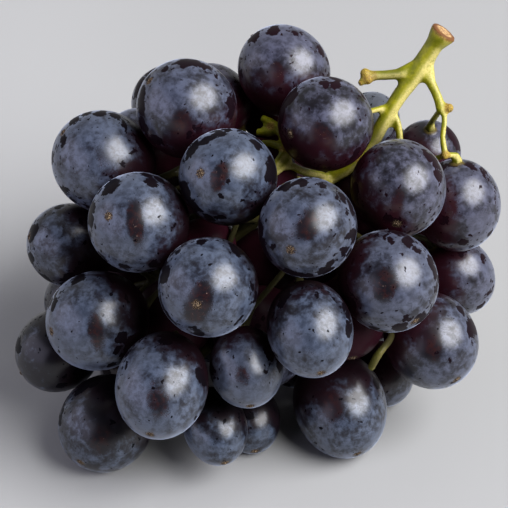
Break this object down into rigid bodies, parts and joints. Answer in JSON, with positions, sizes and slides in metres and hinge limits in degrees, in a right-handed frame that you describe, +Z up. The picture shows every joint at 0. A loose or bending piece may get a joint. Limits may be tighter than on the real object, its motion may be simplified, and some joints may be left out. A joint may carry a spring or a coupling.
{
  "type": "bunch of grapes",
  "caption": "Bunch of ripe dark grapes lying on its side, on one branching green stem with a cut stalk end.",
  "frame": {"origin": "middle of the bunch's outline seen from above, on the surface that it lies on", "axes": "+Z up, +X to the right in the picture's view, +Y away from the viewer; the cut end of the stalk points up and to the right at the back"},
  "size_m": [0.1136, 0.108, 0.0889],
  "materials": {
    "berry": "dark purple-black grape skin under a patchy blue-grey waxy bloom, satin",
    "stem": "fresh yellow-green stem, brown at the scars and the cut end"
  },
  "bodies": {
    "root": {"berry_01": "berry", "berry_02": "berry", "berry_03": "berry", "berry_04": "berry", "berry_05": "berry", "berry_06": "berry", "berry_07": "berry", "berry_08": "berry", "berry_09": "berry", "berry_10": "berry", "berry_11": "berry", "berry_12": "berry", "berry_13": "berry", "berry_14": "berry", "berry_15": "berry", "berry_16": "berry", "berry_17": "berry", "berry_18": "berry", "berry_19": "berry", "berry_20": "berry", "berry_21": "berry", "berry_22": "berry", "berry_23": "berry", "berry_24": "berry", "berry_25": "berry", "berry_26": "berry", "berry_27": "berry", "berry_28": "berry", "berry_29": "berry", "berry_30": "berry", "berry_31": "berry", "berry_32": "berry", "berry_33": "berry", "berry_34": "berry", "berry_35": "berry", "berry_36": "berry", "berry_37": "berry", "berry_38": "berry", "berry_39": "berry", "berry_40": "berry", "berry_41": "berry", "berry_42": "berry", "berry_43": "berry", "berry_44": "berry", "berry_45": "berry", "berry_46": "berry", "berry_47": "berry", "berry_48": "berry", "berry_49": "berry", "berry_50": "berry", "berry_51": "berry", "berry_52": "berry", "berry_53": "berry", "berry_54": "berry", "berry_55": "berry", "berry_56": "berry", "stem": "stem"}
  },
  "joints": []
}
